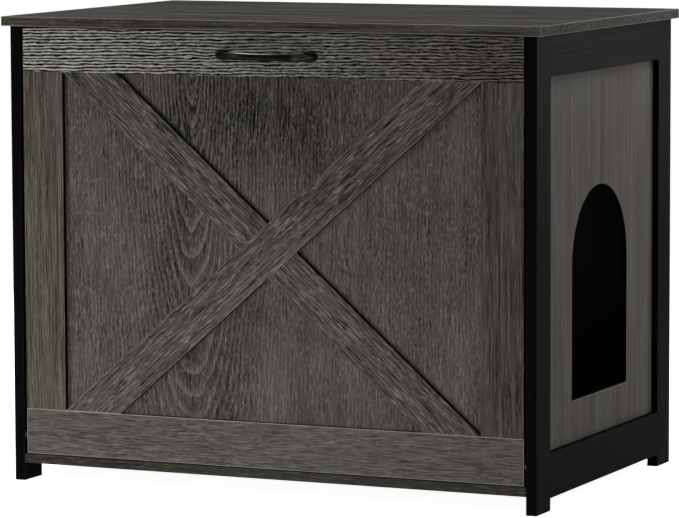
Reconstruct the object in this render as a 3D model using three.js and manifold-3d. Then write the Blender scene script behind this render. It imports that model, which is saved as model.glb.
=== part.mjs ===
// Cat litter box cabinet: a flat-pack cabinet of laminated boards. Two black side frames
// carry the top, the bottom and the back. The front is a drop-down door with an X brace.
// It turns on two pins low in the front posts, and two magnets hold it shut at the top.
// The right side panel has an arched entry for the cat.
//
// Millimetres, +Z up. The cabinet faces -Y and +X is to its right. Pieces are laid out from
// the middle of the front of the frame at floor level, and the finished group is then moved
// so that the origin lies at the centre of its footprint.
import * as THREE from "three";
import { mergeVertices } from "three/addons/utils/BufferGeometryUtils.js";
import Module from "manifold-3d";

const wasm = await Module();
wasm.setup();

// ---------------------------------------------------------------- driving dimensions

// Top and overall frame
const topLength = 790;
const topDepth = 520;
const topThickness = 13;
const undersideHeight = 625; // floor to the underside of the top
const sideOverhang = 9;
const frontOverhang = 9.5;
const rearOverhang = 7.5;

// Side frames
const postThickness = 15;
const postWidth = 49; // front to back
const upperRailHeight = 55;
const lowerRailHeight = 60;
const lowerRailClearance = 16.5; // floor to the underside of the lower rail
const sidePanelThickness = 6;
const sidePanelLap = 8; // how far the panel reaches behind posts and rails
const panelPlay = 0.5; // room round a panel in its rebate

// Arched entry in the right side panel
const entryWidth = 205;
const entryHeight = 281;
const entrySillHeight = 132.25; // floor to the sill

// Bottom, back and stretchers
const bottomThickness = 12.5;
const bottomClearance = 24.5; // floor to its underside
const backThickness = 6;
const backLap = 9; // how far the back reaches behind each rear post's inner face
const stretcherHeight = 50;
const stretcherThickness = 15;

// Door
const doorSetBack = 1; // behind the front of the posts
const doorSideGap = 3.5;
const doorTopGap = 2;
const doorBottomGap = 1.25;
const doorFrameThickness = 16;
const doorPanelThickness = 9;
const doorPanelLap = 8;
const stileWidth = 60.5;
const doorTopRailHeight = 59.5;
const doorBottomRailHeight = 62;
const braceWidth = 54.5;
const braceThickness = 6.5;
const braceJointGap = 0.3;

// Door pivots
const pivotFromFront = 6.5; // behind the door's front face
const pivotFromBottom = 25; // above the door's lower edge
const pivotPinRadius = 2.5;
const pivotPinInDoor = 20;
const pivotPinInBush = 8;
const pivotPinEase = 0.5;
const bushWall = 1.75;
const bushSleeveLength = 9.5;
const bushFlangeRadius = 6.25;
const bushFlangeThickness = 1.25;

// Handle
const handleSpacing = 128; // between the two screws
const handleProjection = 28; // in front of the door
const handleBarWidth = 10;
const handleBarThickness = 7;
const handleFootLength = 23;
const handleFootHeight = 14;
const handleFootRim = 1.25; // straight edge of the foot before it flares into the bar
const handleDrop = 31.5; // below the door's upper edge

// Magnets and strike plates
const magnetOffset = 200; // either side of the middle
const magnetDrop = 25; // below the underside of the top
const magnetRadius = 5;
const magnetLength = 12;
const magnetFlangeRadius = 7;
const magnetFlangeThickness = 1.5;
const magnetFlangeEase = 0.5;
const magnetAirGap = 0.5;
const strikeRadius = 8;
const strikeThickness = 1;
const strikeEase = 0.35;

// Fasteners
const screwRadius = 1.9;
const screwHeadRadius = 4;
const screwHeadThickness = 2;
const screwHeadFlat = 2.4; // radius of the flat on the head
const screwHeadRim = 0.65; // straight edge of the head
const screwPoint = 1; // how much the tip tapers
const screwInHandle = 8;
const strikeScrewLength = 12;
const strikeScrewPoint = 1.6;
const dowelRadius = 4;
const dowelEase = 0.8;
const dowelInPost = 10;
const dowelInStretcher = 20;
const camRadius = 6;
const camPastBolt = 3.75; // how far the cam reaches past the bolt's axis
const camSlotLength = 7.8;
const camSlotWidth = 1.5;
const camSlotDepth = 2;
const boltReach = 24; // from the joint to the middle of the bolt's head
const boltStubLength = 10;
const boltStubRadius = 2.5;
const boltShaftRadius = 2;
const boltHeadRadius = 3;
const boltHeadLength = 2.5;
const boltCollarLength = 1.5;
const bottomBoltInset = 55; // from the front and rear posts
const topBoltInset = 55;

const clearance = 0.3; // between a fitting and its hole
const overrun = 1; // how far a cutter reaches past the face that it opens
const edgeEase = 0.5; // chamfer along the boards' long edges
const topEase = 0.75;
const doorFootEase = 1; // wider chamfer where the door turns past the bottom

// ---------------------------------------------------------------- shared planes

// Faces that touch share one value, rounded to a 64th so that it is exact in the mesh.
const exact = (value) => Math.round(value * 64) / 64;

const frameHalf = exact(topLength / 2 - sideOverhang);
const frameDepth = exact(topDepth - frontOverhang - rearOverhang);
const innerHalf = exact(frameHalf - postThickness);
const frontPostBack = exact(postWidth);
const rearPostFront = exact(frameDepth - postWidth);
const underside = exact(undersideHeight);

const lowerRailBottom = exact(lowerRailClearance);
const lowerRailTop = exact(lowerRailBottom + lowerRailHeight);
const upperRailBottom = exact(underside - upperRailHeight);

const bottomLow = exact(bottomClearance);
const bottomHigh = exact(bottomLow + bottomThickness);
const backFront = exact(frameDepth - backThickness);
const stretcherLow = exact(underside - stretcherHeight);

const doorHalf = exact(innerHalf - doorSideGap);
const doorFront = exact(doorSetBack);
const doorBack = exact(doorFront + doorFrameThickness);
const doorLow = exact(bottomHigh + doorBottomGap);
const doorHigh = exact(underside - doorTopGap);
const doorPanelFront = exact(doorBack - doorPanelThickness);
const openingHalf = exact(doorHalf - stileWidth);
const openingLow = exact(doorLow + doorBottomRailHeight);
const openingHigh = exact(doorHigh - doorTopRailHeight);

const strikeBack = exact(doorBack + strikeThickness);
const magnetFront = exact(strikeBack + magnetAirGap);
const stretcherFront = exact(magnetFront + magnetFlangeThickness);
const stretcherBack = exact(stretcherFront + stretcherThickness);
const rearStretcherFront = exact(backFront - stretcherThickness);
const magnetHeight = exact(underside - magnetDrop);

const pivotY = exact(doorFront + pivotFromFront);
const pivotZ = exact(doorLow + pivotFromBottom);
const handleZ = exact(doorHigh - handleDrop);
const handleFront = exact(doorFront - handleProjection);

// ---------------------------------------------------------------- finishes

function finish(color, roughness, metalness = 0) {
  return new THREE.MeshStandardMaterial({ color, roughness, metalness });
}

const charcoalOak = () => finish(0x4a4844, 0.62);
const greyOak = () => finish(0x57544f, 0.66);
const blackLaminate = () => finish(0x1a1a1a, 0.55);
const blackCasting = () => finish(0x111113, 0.38, 0.5);
const zinc = () => finish(0x9a9ca0, 0.4, 0.9);
const steel = () => finish(0xb4b6b8, 0.35, 0.95);
const blackNylon = () => finish(0x151515, 0.6);
const beech = () => finish(0xc9a878, 0.7);

// ---------------------------------------------------------------- solids

const cabinet = new THREE.Group();
const door = new THREE.Group();

// Makes a closed solid of a geometry, for cutting and joining.
function solid(geometry) {
  const bare = geometry.clone();
  bare.deleteAttribute("normal");
  bare.deleteAttribute("uv");
  const merged = mergeVertices(bare, 1e-5);
  return new wasm.Manifold(
    new wasm.Mesh({
      numProp: 3,
      vertProperties: new Float32Array(merged.attributes.position.array),
      triVerts: new Uint32Array(merged.index.array),
    }),
  );
}

function indexed(positions, corners) {
  const geometry = new THREE.BufferGeometry();
  geometry.setAttribute("position", new THREE.BufferAttribute(positions, 3));
  geometry.setIndex(new THREE.BufferAttribute(corners, 1));
  geometry.computeVertexNormals();
  return geometry;
}

function geometryOf(body) {
  const mesh = body.getMesh();
  return indexed(new Float32Array(mesh.vertProperties), new Uint32Array(mesh.triVerts));
}

// Gives a piece its own origin, at the middle of its box, and places it by its position.
function place(group, name, geometry, material) {
  geometry.computeBoundingBox();
  const middle = geometry.boundingBox.getCenter(new THREE.Vector3());
  middle.set(exact(middle.x), exact(middle.y), exact(middle.z));
  geometry.translate(-middle.x, -middle.y, -middle.z);
  const mesh = new THREE.Mesh(geometry, material);
  mesh.name = name;
  mesh.position.copy(middle);
  group.add(mesh);
  return mesh;
}

function placeCut(group, name, geometry, cutters, material) {
  let body = solid(geometry);
  for (const cutter of cutters) {
    body = body.subtract(solid(cutter));
  }
  return place(group, name, geometryOf(body), material);
}

// Carries a profile along an axis. Its points are (y, z) along x, (x, z) along y, (x, y) along z.
const profileBasis = {
  x: new THREE.Matrix4().makeBasis(
    new THREE.Vector3(0, 1, 0), new THREE.Vector3(0, 0, 1), new THREE.Vector3(1, 0, 0)),
  y: new THREE.Matrix4().makeBasis(
    new THREE.Vector3(1, 0, 0), new THREE.Vector3(0, 0, 1), new THREE.Vector3(0, -1, 0)),
  z: new THREE.Matrix4(),
};

function prism(shape, axis, from, to, curveSegments = 12) {
  const geometry = new THREE.ExtrudeGeometry(shape, {
    depth: to - from,
    bevelEnabled: false,
    curveSegments,
  });
  geometry.applyMatrix4(profileBasis[axis]);
  geometry.translate(axis === "x" ? from : 0, axis === "y" ? to : 0, axis === "z" ? from : 0);
  return geometry;
}

function polygon(points) {
  return new THREE.Shape(points.map(([u, v]) => new THREE.Vector2(u, v)));
}

// A rectangle with its four corners chamfered.
function easedRectangle([u0, u1], [v0, v1], ease) {
  return polygon([
    [u0 + ease, v0], [u1 - ease, v0], [u1, v0 + ease], [u1, v1 - ease],
    [u1 - ease, v1], [u0 + ease, v1], [u0, v1 - ease], [u0, v0 + ease],
  ]);
}

// A sawn board with eased long edges; along is the axis that the long edges follow.
function board(xs, ys, zs, along, ease = edgeEase) {
  const spans = { x: [ys, zs, xs], y: [xs, zs, ys], z: [xs, ys, zs] };
  const [us, vs, ws] = spans[along];
  return prism(easedRectangle(us, vs, ease), along, ws[0], ws[1]);
}

function block(xs, ys, zs) {
  const geometry = new THREE.BoxGeometry(xs[1] - xs[0], ys[1] - ys[0], zs[1] - zs[0]);
  geometry.translate((xs[0] + xs[1]) / 2, (ys[0] + ys[1]) / 2, (zs[0] + zs[1]) / 2);
  return geometry;
}

// Turns a profile of [radius, distance] about a line that starts at a point and runs one way.
function turned(profile, start, direction, sides = 16) {
  const points = profile.map(([radius, distance]) => new THREE.Vector2(radius, distance));
  const geometry = new THREE.LatheGeometry(points, sides);
  const turn = new THREE.Quaternion().setFromUnitVectors(
    new THREE.Vector3(0, 1, 0), new THREE.Vector3(...direction));
  geometry.applyQuaternion(turn);
  geometry.translate(...start);
  return geometry;
}

function rod(radius, from, to, start, direction, sides = 16) {
  return turned([[0, from], [radius, from], [radius, to], [0, to]], start, direction, sides);
}

// ---------------------------------------------------------------- cam fittings

// A cam bolt screwed into one board pulls the next board tight when its cam is turned.
// The joint is the point where the bolt leaves its own board, along points into the held
// board, and face points from the bolt's axis to the side that the cam is turned from.
function camFitting(name, joint, along, face, heldThickness) {
  const headBore = boltHeadRadius + clearance;
  const headStart = boltReach - boltHeadLength / 2;
  const headEnd = boltReach + boltHeadLength / 2;
  const runs = new THREE.Vector3(...along);
  const across = runs.clone().cross(new THREE.Vector3(...face)).toArray();
  const middle = new THREE.Vector3(...joint).addScaledVector(runs, boltReach).toArray();

  const bolt = turned([
    [0, -boltStubLength], [boltStubRadius - edgeEase, -boltStubLength],
    [boltStubRadius, -boltStubLength + edgeEase], [boltStubRadius, 0],
    [boltHeadRadius, 0], [boltHeadRadius, boltCollarLength],
    [boltShaftRadius, boltCollarLength], [boltShaftRadius, headStart],
    [boltHeadRadius, headStart], [boltHeadRadius, headEnd], [0, headEnd],
  ], joint, along);
  place(cabinet, `${name}_cam_bolt`, bolt, steel());

  const half = heldThickness / 2;
  const reach = camRadius + clearance;
  const headRoom = boltHeadLength / 2 + clearance;
  const hollows = [
    rod(boltShaftRadius + clearance, -reach, 0, middle, along),
    rod(headBore, -headRoom, headRoom, middle, along),
    rod(headBore, 0, reach, middle, across),
    camRecess(middle, along, face, half),
    camRecess(middle, across, face, half),
  ];
  const drum = rod(camRadius, -camPastBolt, half, middle, face, 24);
  placeCut(cabinet, `${name}_cam`, drum, hollows, zinc());

  // Holes in the board that takes the bolt, and in the board that the cam holds.
  return {
    inSeat: [rod(boltStubRadius + clearance, -boltStubLength - clearance, overrun, joint, along)],
    inHeld: [
      rod(headBore, -overrun, boltReach, joint, along),
      rod(reach, -camPastBolt - clearance, half + overrun, middle, face, 24),
    ],
  };
}

// One arm of the cross that a screwdriver turns, cut into the cam's face.
function camRecess(middle, arm, face, half) {
  const armAxis = new THREE.Vector3(...arm);
  const faceAxis = new THREE.Vector3(...face);
  const geometry = new THREE.BoxGeometry(camSlotLength, camSlotWidth, camSlotDepth * 2);
  geometry.applyMatrix4(new THREE.Matrix4().makeBasis(armAxis, faceAxis.clone().cross(armAxis), faceAxis));
  const seat = new THREE.Vector3(...middle).addScaledVector(faceAxis, half);
  geometry.translate(seat.x, seat.y, seat.z);
  return geometry;
}

const sides = [
  { name: "left", way: -1 },
  { name: "right", way: 1 },
];

// A span from the inside of a side frame outwards, with its lower value first.
function outward(way, near, far) {
  return way > 0 ? [near, far] : [-far, -near];
}

const topHoles = [];
const bottomHoles = [];
const frontStretcherHoles = [];
const rearStretcherHoles = [];

// ---------------------------------------------------------------- stretchers' dowels

function stretcherDowel(name, way, middleY, holes) {
  const middle = [way * innerHalf, middleY, exact((stretcherLow + underside) / 2)];
  const outwards = [way, 0, 0];
  const tip = dowelRadius - dowelEase;
  const dowel = turned([
    [0, -dowelInStretcher], [tip, -dowelInStretcher], [dowelRadius, -dowelInStretcher + dowelEase],
    [dowelRadius, dowelInPost - dowelEase], [tip, dowelInPost], [0, dowelInPost],
  ], middle, outwards);
  place(cabinet, `${name}_dowel`, dowel, beech());
  const hole = dowelRadius + clearance;
  holes.push(rod(hole, -dowelInStretcher - clearance, overrun, middle, outwards));
  return rod(hole, -overrun, dowelInPost + clearance, middle, outwards);
}

// ---------------------------------------------------------------- side frames

// Each side frame is two posts and two rails in black, with a thin panel let into a rebate
// behind them, flush with their inner faces.
function sideFrame({ name, way }) {
  const thick = outward(way, innerHalf, frameHalf);
  const panelOuter = exact(innerHalf + sidePanelThickness);
  const rebate = block(
    outward(way, innerHalf - overrun, panelOuter),
    [frontPostBack - sidePanelLap, rearPostFront + sidePanelLap],
    [lowerRailTop - sidePanelLap, upperRailBottom + sidePanelLap],
  );

  const frontDowelHole = stretcherDowel(
    `${name}_front_stretcher`, way, exact((stretcherFront + stretcherBack) / 2), frontStretcherHoles);
  const rearDowelHole = stretcherDowel(
    `${name}_rear_stretcher`, way, exact((rearStretcherFront + backFront) / 2), rearStretcherHoles);
  const bushHole = rod(
    pivotPinRadius + clearance + bushWall + clearance, -overrun, bushSleeveLength + clearance,
    [way * innerHalf, pivotY, pivotZ], [way, 0, 0], 24);
  const backRebate = block(
    outward(way, innerHalf - overrun, innerHalf + backLap),
    [backFront, frameDepth + overrun],
    [-overrun, underside + overrun],
  );

  placeCut(cabinet, `${name}_front_post`,
    board(thick, [0, frontPostBack], [0, underside], "z"),
    [rebate, frontDowelHole, bushHole], blackLaminate());
  placeCut(cabinet, `${name}_rear_post`,
    board(thick, [rearPostFront, frameDepth], [0, underside], "z"),
    [rebate, rearDowelHole, backRebate], blackLaminate());

  // The bottom hangs on bolts in the lower rail, and the upper rail hangs on bolts in the top.
  const lowerHoles = [];
  const upperHoles = [];
  const bottomMiddle = exact((bottomLow + bottomHigh) / 2);
  const railMiddle = exact((innerHalf + frameHalf) / 2);
  for (const [end, y] of [
    ["front", frontPostBack + bottomBoltInset],
    ["rear", rearPostFront - bottomBoltInset],
  ]) {
    const joint = [way * innerHalf, y, bottomMiddle];
    const holes = camFitting(`bottom_${name}_${end}`, joint, [-way, 0, 0], [0, 0, -1], bottomThickness);
    lowerHoles.push(...holes.inSeat);
    bottomHoles.push(...holes.inHeld);
  }
  for (const [end, y] of [
    ["front", frontPostBack + topBoltInset],
    ["rear", rearPostFront - topBoltInset],
  ]) {
    const joint = [way * railMiddle, y, underside];
    const holes = camFitting(`top_${name}_${end}`, joint, [0, 0, -1], [-way, 0, 0], postThickness);
    topHoles.push(...holes.inSeat);
    upperHoles.push(...holes.inHeld);
  }

  const span = [frontPostBack, rearPostFront];
  placeCut(cabinet, `${name}_upper_rail`,
    board(thick, span, [upperRailBottom, underside], "y"), [rebate, ...upperHoles], blackLaminate());
  placeCut(cabinet, `${name}_lower_rail`,
    board(thick, span, [lowerRailBottom, lowerRailTop], "y"), [rebate, ...lowerHoles], blackLaminate());

  const reach = sidePanelLap - panelPlay;
  const panelShape = polygon([
    [frontPostBack - reach, lowerRailTop - reach], [rearPostFront + reach, lowerRailTop - reach],
    [rearPostFront + reach, upperRailBottom + reach], [frontPostBack - reach, upperRailBottom + reach],
  ]);
  if (way > 0) {
    panelShape.holes.push(entryOutline());
  }
  const [panelFrom, panelTo] = outward(way, innerHalf, panelOuter);
  place(cabinet, `${name}_side_panel`, prism(panelShape, "x", panelFrom, panelTo, 40), greyOak());
}

// The cat's entry: upright sides under a half circle, centred between the posts.
function entryOutline() {
  const middle = frameDepth / 2;
  const radius = entryWidth / 2;
  const spring = entrySillHeight + entryHeight - radius;
  const outline = new THREE.Path();
  outline.moveTo(middle - radius, entrySillHeight);
  outline.lineTo(middle + radius, entrySillHeight);
  outline.lineTo(middle + radius, spring);
  outline.absarc(middle, spring, radius, 0, Math.PI, false);
  outline.closePath();
  return outline;
}

sides.forEach(sideFrame);

// ---------------------------------------------------------------- top, bottom, back, stretchers

// The top's corners and both faces' edges are eased.
function topPanel() {
  const half = topLength / 2 - topEase;
  const outline = easedRectangle(
    [-half, half], [-frontOverhang + topEase, topDepth - frontOverhang - topEase], topEase);
  const geometry = new THREE.ExtrudeGeometry(outline, {
    depth: topThickness - 2 * topEase,
    bevelEnabled: true,
    bevelSegments: 1,
    bevelSize: topEase,
    bevelThickness: topEase,
  });
  geometry.translate(0, 0, underside + topEase);
  placeCut(cabinet, "top_panel", geometry, topHoles, charcoalOak());
}

topPanel();
placeCut(cabinet, "bottom_panel",
  board([-innerHalf, innerHalf], [0, backFront], [bottomLow, bottomHigh], "x"), bottomHoles, charcoalOak());

const backHalf = exact(innerHalf + backLap - panelPlay);
place(cabinet, "back_panel",
  block([-backHalf, backHalf], [backFront, frameDepth], [bottomLow, underside]), greyOak());

// The front stretcher stands behind the door's top and carries the magnets.
const magnets = sides.map(({ name, way }) => ({ name, x: exact(way * magnetOffset) }));
for (const { x } of magnets) {
  frontStretcherHoles.push(rod(
    magnetRadius + clearance, -overrun, magnetLength + clearance,
    [x, stretcherFront, magnetHeight], [0, 1, 0], 20));
}
placeCut(cabinet, "front_stretcher",
  board([-innerHalf, innerHalf], [stretcherFront, stretcherBack], [stretcherLow, underside], "x"),
  frontStretcherHoles, blackLaminate());
placeCut(cabinet, "rear_stretcher",
  board([-innerHalf, innerHalf], [rearStretcherFront, backFront], [stretcherLow, underside], "x"),
  rearStretcherHoles, blackLaminate());

for (const { name, x } of magnets) {
  const face = -magnetFlangeThickness;
  place(cabinet, `${name}_magnet`, turned([
    [0, face], [magnetFlangeRadius - magnetFlangeEase, face], [magnetFlangeRadius, face + magnetFlangeEase],
    [magnetFlangeRadius, 0], [magnetRadius, 0], [magnetRadius, magnetLength], [0, magnetLength],
  ], [x, stretcherFront, magnetHeight], [0, 1, 0], 20), blackNylon());
}

// ---------------------------------------------------------------- door

const panelPocket = block(
  [-openingHalf - doorPanelLap, openingHalf + doorPanelLap],
  [doorPanelFront, doorBack + overrun],
  [openingLow - doorPanelLap, openingHigh + doorPanelLap],
);
const doorDepth = [doorFront, doorBack];

// The frame: full-width rails at the top and bottom, with the stiles between them. A rebate
// round the back of the opening takes the panel.
const pinHoles = sides.map(({ way }) => rod(
  pivotPinRadius + clearance, -pivotPinInDoor - clearance, overrun,
  [way * doorHalf, pivotY, pivotZ], [way, 0, 0]));
const bottomRailProfile = polygon([
  [doorFront + doorFootEase, doorLow], [doorBack - edgeEase, doorLow], [doorBack, doorLow + edgeEase],
  [doorBack, openingLow - edgeEase], [doorBack - edgeEase, openingLow], [doorFront + edgeEase, openingLow],
  [doorFront, openingLow - edgeEase], [doorFront, doorLow + doorFootEase],
]);
placeCut(door, "door_bottom_rail",
  prism(bottomRailProfile, "x", -doorHalf, doorHalf), [panelPocket, ...pinHoles], charcoalOak());

const handleScrews = sides.map(({ name, way }) => ({ name, x: exact((way * handleSpacing) / 2) }));
const screwBore = screwRadius + clearance;
const screwHoles = handleScrews.map(({ x }) => rod(
  screwBore, -overrun, doorFrameThickness + overrun, [x, doorBack, handleZ], [0, -1, 0]));
const strikeScrewHoles = magnets.map(({ x }) => rod(
  screwBore, -overrun, strikeScrewLength + clearance, [x, doorBack, magnetHeight], [0, -1, 0]));
placeCut(door, "door_top_rail",
  board([-doorHalf, doorHalf], doorDepth, [openingHigh, doorHigh], "x"),
  [panelPocket, ...screwHoles, ...strikeScrewHoles], charcoalOak());

for (const { name, way } of sides) {
  placeCut(door, `door_${name}_stile`,
    board(outward(way, openingHalf, doorHalf), doorDepth, [openingLow, openingHigh], "z"),
    [panelPocket], charcoalOak());
}

const doorPanelReach = doorPanelLap - panelPlay;
place(door, "door_panel", block(
  [-openingHalf - doorPanelReach, openingHalf + doorPanelReach],
  [doorPanelFront, doorBack],
  [openingLow - doorPanelReach, openingHigh + doorPanelReach],
), charcoalOak());

// ---------------------------------------------------------------- X brace

// Each brace fills the opening from corner to corner, and its ends are cut level. The cut is
// the width w of a level slice, from w * height = braceWidth * length of the slanted edge.
function levelCut(span, height) {
  const b2 = braceWidth ** 2;
  const root = Math.sqrt(b2 * b2 * span ** 2 + (height ** 2 - b2) * b2 * (span ** 2 + height ** 2));
  return (root - b2 * span) / (height ** 2 - b2);
}

function meeting([a, b], [c, d]) {
  const r = [b[0] - a[0], b[1] - a[1]];
  const s = [d[0] - c[0], d[1] - c[1]];
  const t = ((c[0] - a[0]) * s[1] - (c[1] - a[1]) * s[0]) / (r[0] * s[1] - r[1] * s[0]);
  return [a[0] + t * r[0], a[1] + t * r[1]];
}

// Moves a line sideways, to the left of its direction.
function shifted([a, b], distance) {
  const length = Math.hypot(b[0] - a[0], b[1] - a[1]);
  const left = [-(b[1] - a[1]) / length, (b[0] - a[0]) / length];
  return [a, b].map((p) => [p[0] + left[0] * distance, p[1] + left[1] * distance]);
}

const cut = exact(levelCut(2 * openingHalf, openingHigh - openingLow));
const risingUpper = [[-openingHalf, openingLow], [openingHalf - cut, openingHigh]];
const risingLower = [[-openingHalf + cut, openingLow], [openingHalf, openingHigh]];
const fallingUpper = [[-openingHalf + cut, openingHigh], [openingHalf, openingLow]];
const fallingLower = [[-openingHalf, openingHigh], [openingHalf - cut, openingLow]];
const aboveRising = shifted(risingUpper, braceJointGap);
const belowRising = shifted(risingLower, -braceJointGap);
const braceFront = exact(doorPanelFront - braceThickness);

const braces = {
  brace_long: [risingUpper[0], risingLower[0], risingLower[1], risingUpper[1]],
  brace_upper_left: [
    fallingLower[0], meeting(fallingLower, aboveRising),
    meeting(fallingUpper, aboveRising), fallingUpper[0],
  ],
  brace_lower_right: [
    fallingLower[1], fallingUpper[1],
    meeting(fallingUpper, belowRising), meeting(fallingLower, belowRising),
  ],
};
for (const [name, outline] of Object.entries(braces)) {
  place(door, name, prism(polygon(outline), "y", braceFront, doorPanelFront), charcoalOak());
}

// ---------------------------------------------------------------- handle

// A cast bow pull. An oval section is carried along an arch that leaves the door square to its
// face, and towards both ends the section swells into a flared foot, drilled from behind.
const archSteps = 40;
const sectionSides = 20;
const archFullness = 0.8; // 1 makes half an ellipse, and less squares its shoulders
const flareSharpness = 2.6;
const archHalfSpan = handleSpacing / 2;
const archRise = handleProjection - handleFootRim - handleBarThickness / 2;

// The arch at an angle from one foot to the other: how far along and how far out it is.
function archPoint(angle) {
  const along = -Math.sign(Math.cos(angle)) * Math.abs(Math.cos(angle)) ** archFullness;
  const out = Math.max(Math.sin(angle), 0) ** archFullness;
  return new THREE.Vector2(archHalfSpan * along, archRise * out);
}

// The direction square to the arch, away from the door and from the handle's middle.
function archNormal(angle) {
  const power = 2 - archFullness;
  const along = -Math.sign(Math.cos(angle)) * Math.abs(Math.cos(angle)) ** power;
  const out = Math.max(Math.sin(angle), 0) ** power;
  return new THREE.Vector2(along / archHalfSpan, out / archRise).normalize();
}

// One oval ring of the casting, round the arch's point at an angle.
function archRing(angle, lift) {
  const middle = archPoint(angle);
  const normal = archNormal(angle);
  const swell = (1 - middle.y / archRise) ** flareSharpness;
  const thick = THREE.MathUtils.lerp(handleBarThickness, handleFootLength, swell) / 2;
  const high = THREE.MathUtils.lerp(handleBarWidth, handleFootHeight, swell) / 2;
  return Array.from({ length: sectionSides }, (_, i) => {
    const turn = (2 * Math.PI * i) / sectionSides;
    const out = thick * Math.cos(turn);
    return [
      middle.x + normal.x * out,
      doorFront - lift - middle.y - normal.y * out,
      handleZ + high * Math.sin(turn),
    ];
  });
}

function handleGeometry() {
  // The arch starts at the foot's rim, whose straight edge stands on the door.
  const rings = [archRing(0, 0)];
  for (let i = 0; i <= archSteps; i += 1) {
    rings.push(archRing((Math.PI * i) / archSteps, handleFootRim));
  }
  rings.push(archRing(Math.PI, 0));

  const corners = [];
  for (let ring = 0; ring < rings.length - 1; ring += 1) {
    for (let i = 0; i < sectionSides; i += 1) {
      const here = ring * sectionSides + i;
      const next = ring * sectionSides + ((i + 1) % sectionSides);
      corners.push(here, here + sectionSides, next, next, here + sectionSides, next + sectionSides);
    }
  }
  const lastRing = (rings.length - 1) * sectionSides;
  for (let i = 1; i < sectionSides - 1; i += 1) {
    corners.push(0, i, i + 1, lastRing, lastRing + i + 1, lastRing + i);
  }

  let body = solid(indexed(new Float32Array(rings.flat(2)), new Uint32Array(corners)));
  for (const { x } of handleScrews) {
    const hole = rod(screwBore, -overrun, screwInHandle + clearance, [x, doorFront, handleZ], [0, -1, 0]);
    body = body.subtract(solid(hole));
  }
  return geometryOf(body);
}

place(door, "handle", handleGeometry(), blackCasting());

for (const { name, x } of handleScrews) {
  const shankEnd = doorFrameThickness + screwInHandle;
  place(door, `${name}_handle_screw`, turned([
    [0, -screwHeadThickness], [screwHeadFlat, -screwHeadThickness],
    [screwHeadRadius, -screwHeadRim], [screwHeadRadius, 0], [screwRadius, 0],
    [screwRadius, shankEnd - screwPoint], [screwRadius - screwPoint, shankEnd], [0, shankEnd],
  ], [x, doorBack, handleZ], [0, -1, 0]), steel());
}

// ---------------------------------------------------------------- strike plates and pivots

for (const { name, x } of magnets) {
  const seat = [x, strikeBack, magnetHeight];
  place(door, `${name}_strike_plate`, turned([
    [screwBore, strikeThickness], [screwBore + strikeThickness, 0], [strikeRadius - strikeEase, 0],
    [strikeRadius, strikeEase], [strikeRadius, strikeThickness], [screwBore, strikeThickness],
  ], seat, [0, -1, 0], 20), steel());
  place(door, `${name}_strike_screw`, turned([
    [0, 0], [screwRadius + strikeThickness, 0], [screwRadius, strikeThickness],
    [screwRadius, strikeScrewLength - strikeScrewPoint], [0, strikeScrewLength],
  ], seat, [0, -1, 0]), steel());
}

for (const { name, way } of sides) {
  const seat = [way * innerHalf, pivotY, pivotZ];
  const outwards = [way, 0, 0];
  const bore = pivotPinRadius + clearance;
  const sleeve = bore + bushWall;
  place(cabinet, `${name}_pivot_bush`, turned([
    [bore, -bushFlangeThickness], [bushFlangeRadius, -bushFlangeThickness], [bushFlangeRadius, 0],
    [sleeve, 0], [sleeve, bushSleeveLength], [bore, bushSleeveLength], [bore, -bushFlangeThickness],
  ], seat, outwards, 24), blackNylon());

  const pinStart = -doorSideGap - pivotPinInDoor;
  place(door, `${name}_pivot_pin`, turned([
    [0, pinStart], [pivotPinRadius, pinStart], [pivotPinRadius, pivotPinInBush - pivotPinEase],
    [pivotPinRadius - pivotPinEase, pivotPinInBush], [0, pivotPinInBush],
  ], seat, outwards), steel());
}

// ---------------------------------------------------------------- whole cabinet

// The footprint runs from the front of the handle to the rear edge of the top.
const wholeObject = new THREE.Group();
wholeObject.add(cabinet, door);
wholeObject.position.y = -exact((handleFront + topDepth - frontOverhang) / 2);

export default wholeObject;
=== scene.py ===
import bmesh
import bpy
import numpy as np
from mathutils import Euler, Matrix, Vector


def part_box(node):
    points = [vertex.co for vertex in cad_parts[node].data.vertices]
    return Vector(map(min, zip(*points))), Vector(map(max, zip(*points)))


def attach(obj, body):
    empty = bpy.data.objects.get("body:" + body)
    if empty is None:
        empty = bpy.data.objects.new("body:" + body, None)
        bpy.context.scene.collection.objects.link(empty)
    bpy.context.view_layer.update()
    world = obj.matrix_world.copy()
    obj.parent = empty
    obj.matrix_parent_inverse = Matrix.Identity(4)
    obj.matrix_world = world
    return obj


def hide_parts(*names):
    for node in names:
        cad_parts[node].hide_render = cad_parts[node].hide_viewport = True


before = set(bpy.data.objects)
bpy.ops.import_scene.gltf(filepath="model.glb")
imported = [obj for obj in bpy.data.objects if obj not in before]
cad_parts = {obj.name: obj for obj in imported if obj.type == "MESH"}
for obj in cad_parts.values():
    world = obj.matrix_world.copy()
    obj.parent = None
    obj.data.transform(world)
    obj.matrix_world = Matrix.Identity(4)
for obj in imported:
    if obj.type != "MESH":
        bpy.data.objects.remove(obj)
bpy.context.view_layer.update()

# ---------------------------------------------------------------- side frames: posts and rails
# Each side frame is two posts and two rails cut from 15 mm board, faced with a black laminate
# whose fine lines run the length of each piece. The frames are glued up with hidden dowels, and
# the posts run on down past the lower rails as the cabinet's feet.

X, Y, Z = 0, 1, 2
SIDES = ("left", "right")
ENDS = ("front", "rear")
ARRIS = 0.0006
ARC = np.linspace(0, np.pi / 2, 5)
SAME_POINT = 1e-6
SHARP_EDGE = np.radians(40)
FRONTAL = 0.5

LEVEL = (0.0, 0.0, 0.0)
UPRIGHT = (0.0, np.pi / 2, 0.0)
FRONT_TO_BACK = (0.0, 0.0, -np.pi / 2)


def corners(node):
    """The lowest and the highest corner of a node's box, as arrays."""
    return [np.array(corner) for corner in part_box(node)]


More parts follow.
